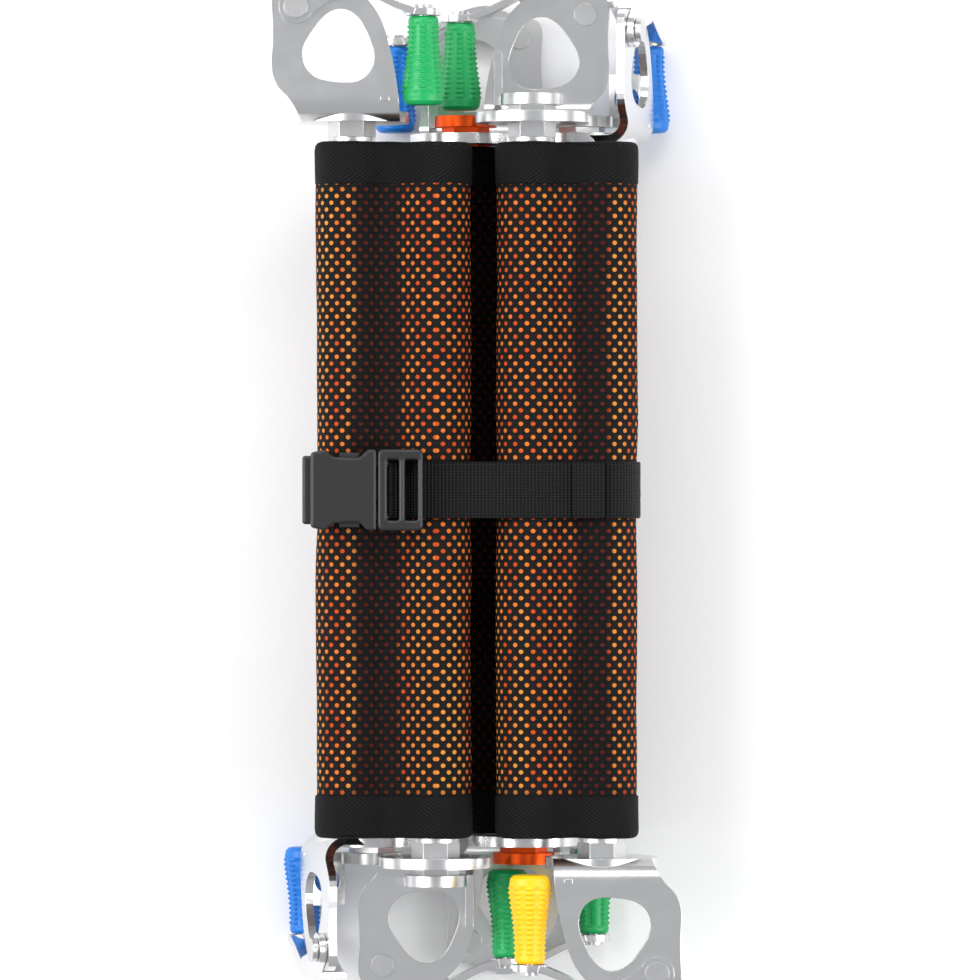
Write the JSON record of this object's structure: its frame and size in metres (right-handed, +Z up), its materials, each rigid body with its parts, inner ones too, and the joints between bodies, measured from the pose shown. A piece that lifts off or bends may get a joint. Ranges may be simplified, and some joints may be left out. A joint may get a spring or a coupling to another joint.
{
  "type": "ice screw roll case with ice screws",
  "caption": "Rolled black mesh case, strapped shut with a side-release buckle, holding ice screws whose steel hangers carry folding cranks with coloured knobs.",
  "frame": {"origin": "on the floor below the middle of the roll as it lies on its back", "axes": "+Z up from the floor towards the buckle side, +Y along the screws towards the upper end, +X to the right seen from above"},
  "size_m": [0.1434, 0.36, 0.093],
  "materials": {
    "mesh": "open mesh",
    "lining": "woven",
    "binding": "twill tape",
    "webbing": "ribbed webbing",
    "buckle": "satin moulded",
    "plate_steel": "polished",
    "tube_steel": "satin",
    "tube_orange": "anodised",
    "knob_green": "ribbed",
    "knob_blue": "ribbed",
    "knob_yellow": "ribbed"
  },
  "bodies": {
    "case": {"mesh_panel": "mesh", "lining_panel": "lining", "binding_top": "binding", "binding_bottom": "binding", "strap": "webbing", "strap_end_fold": "webbing", "buckle_socket": "buckle", "buckle_plug": "buckle"},
    "prong_upper": {"buckle_prong_upper": "buckle"},
    "prong_lower": {"buckle_prong_lower": "buckle"},
    "screw_top_left": {"tube_top_left": "tube_steel", "hanger_top_left": "plate_steel", "crank_rivet_top_left": "tube_steel"},
    "crank_top_left": {"crank_top_left": "plate_steel", "knob_spindle_top_left": "tube_steel"},
    "knob_top_left": {"knob_top_left": "knob_green"},
    "screw_top_back": {"tube_top_back": "tube_orange", "hanger_top_back": "plate_steel", "crank_rivet_top_back": "tube_steel"},
    "crank_top_back": {"crank_top_back": "plate_steel", "knob_spindle_top_back": "tube_steel"},
    "knob_top_back": {"knob_top_back": "knob_blue"},
    "screw_top_front": {"tube_top_front": "tube_steel", "hanger_top_front": "plate_steel", "crank_rivet_top_front": "tube_steel"},
    "crank_top_front": {"crank_top_front": "plate_steel", "knob_spindle_top_front": "tube_steel"},
    "knob_top_front": {"knob_top_front": "knob_green"},
    "screw_top_right": {"tube_top_right": "tube_steel", "hanger_top_right": "plate_steel", "crank_rivet_top_right": "tube_steel"},
    "crank_top_right": {"crank_top_right": "plate_steel", "knob_spindle_top_right": "tube_steel"},
    "knob_top_right": {"knob_top_right": "knob_blue"},
    "screw_bottom_left": {"tube_bottom_left": "tube_steel", "hanger_bottom_left": "plate_steel", "crank_rivet_bottom_left": "tube_steel"},
    "crank_bottom_left": {"crank_bottom_left": "plate_steel", "knob_spindle_bottom_left": "tube_steel"},
    "knob_bottom_left": {"knob_bottom_left": "knob_blue"},
    "screw_bottom_front": {"tube_bottom_front": "tube_steel", "hanger_bottom_front": "plate_steel", "crank_rivet_bottom_front": "tube_steel"},
    "crank_bottom_front": {"crank_bottom_front": "plate_steel", "knob_spindle_bottom_front": "tube_steel"},
    "knob_bottom_front": {"knob_bottom_front": "knob_green"},
    "screw_bottom_back": {"tube_bottom_back": "tube_orange", "hanger_bottom_back": "plate_steel", "crank_rivet_bottom_back": "tube_steel"},
    "crank_bottom_back": {"crank_bottom_back": "plate_steel", "knob_spindle_bottom_back": "tube_steel"},
    "knob_bottom_back": {"knob_bottom_back": "knob_green"},
    "screw_bottom_right": {"tube_bottom_right": "tube_steel", "hanger_bottom_right": "plate_steel", "crank_rivet_bottom_right": "tube_steel"},
    "crank_bottom_right": {"crank_bottom_right": "plate_steel", "knob_spindle_bottom_right": "tube_steel"},
    "knob_bottom_right": {"knob_bottom_right": "knob_yellow"}
  },
  "joints": [
    {"name": "prong_upper_squeeze", "type": "hinge", "parent": "case", "child": "prong_upper", "pos_m": [-0.0329, 0.00935, 0.0836], "axis": [0, 0, 1], "range_deg": [0, 7], "stiffness_Nm_per_rad": 0.5},
    {"name": "prong_lower_squeeze", "type": "hinge", "parent": "case", "child": "prong_lower", "pos_m": [-0.0329, -0.00935, 0.0836], "axis": [0, 0, -1], "range_deg": [0, 7], "stiffness_Nm_per_rad": 0.5},
    {"name": "screw_top_left_slide", "type": "slide", "parent": "case", "child": "screw_top_left", "axis": [0, 1, 0], "range_m": [0, 0.2]},
    {"name": "crank_top_left_swing", "type": "hinge", "parent": "screw_top_left", "child": "crank_top_left", "pos_m": [-0.063, 0.1688, 0.0883], "axis": [0, 0, 1], "range_deg": [0, 170]},
    {"name": "knob_top_left_spin", "type": "hinge", "parent": "crank_top_left", "child": "knob_top_left", "pos_m": [-0.0186, 0.1656, 0.0844], "axis": [0, 1, 0], "continuous": true},
    {"name": "screw_top_back_slide", "type": "slide", "parent": "case", "child": "screw_top_back", "axis": [0, 1, 0], "range_m": [0, 0.0015]},
    {"name": "crank_top_back_swing", "type": "hinge", "parent": "screw_top_back", "child": "crank_top_back", "pos_m": [0.015, 0.1628, 0.0048], "axis": [0, 0, -1], "range_deg": [0, 100]},
    {"name": "knob_top_back_spin", "type": "hinge", "parent": "crank_top_back", "child": "knob_top_back", "pos_m": [-0.0294, 0.1596, 0.0087], "axis": [0, 1, 0], "continuous": true},
    {"name": "screw_top_front_slide", "type": "slide", "parent": "case", "child": "screw_top_front", "axis": [0, 1, 0], "range_m": [0, 0.2]},
    {"name": "crank_top_front_swing", "type": "hinge", "parent": "screw_top_front", "child": "crank_top_front", "pos_m": [0.0385, 0.1688, 0.0433], "axis": [0, 0, -1], "range_deg": [0, 100]},
    {"name": "knob_top_front_spin", "type": "hinge", "parent": "crank_top_front", "child": "knob_top_front", "pos_m": [-0.0059, 0.1656, 0.0472], "axis": [0, 1, 0], "continuous": true},
    {"name": "screw_top_right_slide", "type": "slide", "parent": "case", "child": "screw_top_right", "axis": [0, 1, 0], "range_m": [0, 0.0015]},
    {"name": "crank_top_right_swing", "type": "hinge", "parent": "screw_top_right", "child": "crank_top_right", "pos_m": [0.05432, 0.1628, 0.05148], "axis": [0.9659, 0, 0.2588], "range_deg": [0, 170]},
    {"name": "knob_top_right_spin", "type": "hinge", "parent": "crank_top_right", "child": "knob_top_right", "pos_m": [0.06204, 0.1596, 0.00758], "axis": [0, 1, 0], "continuous": true},
    {"name": "screw_bottom_left_slide", "type": "slide", "parent": "case", "child": "screw_bottom_left", "axis": [0, -1, 0], "range_m": [0, 0.0015]},
    {"name": "crank_bottom_left_swing", "type": "hinge", "parent": "screw_bottom_left", "child": "crank_bottom_left", "pos_m": [-0.05432, -0.1628, 0.05148], "axis": [-0.9659, 0, 0.2588], "range_deg": [0, 170]},
    {"name": "knob_bottom_left_spin", "type": "hinge", "parent": "crank_bottom_left", "child": "knob_bottom_left", "pos_m": [-0.06204, -0.1596, 0.00758], "axis": [0, -1, 0], "continuous": true},
    {"name": "screw_bottom_front_slide", "type": "slide", "parent": "case", "child": "screw_bottom_front", "axis": [0, -1, 0], "range_m": [0, 0.2]},
    {"name": "crank_bottom_front_swing", "type": "hinge", "parent": "screw_bottom_front", "child": "crank_bottom_front", "pos_m": [-0.0335, -0.1688, 0.0433], "axis": [0, 0, -1], "range_deg": [0, 100]},
    {"name": "knob_bottom_front_spin", "type": "hinge", "parent": "crank_bottom_front", "child": "knob_bottom_front", "pos_m": [0.0109, -0.1656, 0.0472], "axis": [0, -1, 0], "continuous": true},
    {"name": "screw_bottom_back_slide", "type": "slide", "parent": "case", "child": "screw_bottom_back", "axis": [0, -1, 0], "range_m": [0, 0.0015]},
    {"name": "crank_bottom_back_swing", "type": "hinge", "parent": "screw_bottom_back", "child": "crank_bottom_back", "pos_m": [-0.00225, -0.1628, 0.0048], "axis": [0, 0, -1], "range_deg": [0, 100]},
    {"name": "knob_bottom_back_spin", "type": "hinge", "parent": "crank_bottom_back", "child": "knob_bottom_back", "pos_m": [0.04215, -0.1596, 0.0087], "axis": [0, -1, 0], "continuous": true},
    {"name": "screw_bottom_right_slide", "type": "slide", "parent": "case", "child": "screw_bottom_right", "axis": [0, -1, 0], "range_m": [0, 0.2]},
    {"name": "crank_bottom_right_swing", "type": "hinge", "parent": "screw_bottom_right", "child": "crank_bottom_right", "pos_m": [0.063, -0.1688, 0.0883], "axis": [0, 0, 1], "range_deg": [0, 170]},
    {"name": "knob_bottom_right_spin", "type": "hinge", "parent": "crank_bottom_right", "child": "knob_bottom_right", "pos_m": [0.0186, -0.1656, 0.0844], "axis": [0, -1, 0], "continuous": true}
  ],
  "couplings": [
    {"joint": "prong_lower_squeeze", "follows": "prong_upper_squeeze", "ratio": 1}
  ]
}
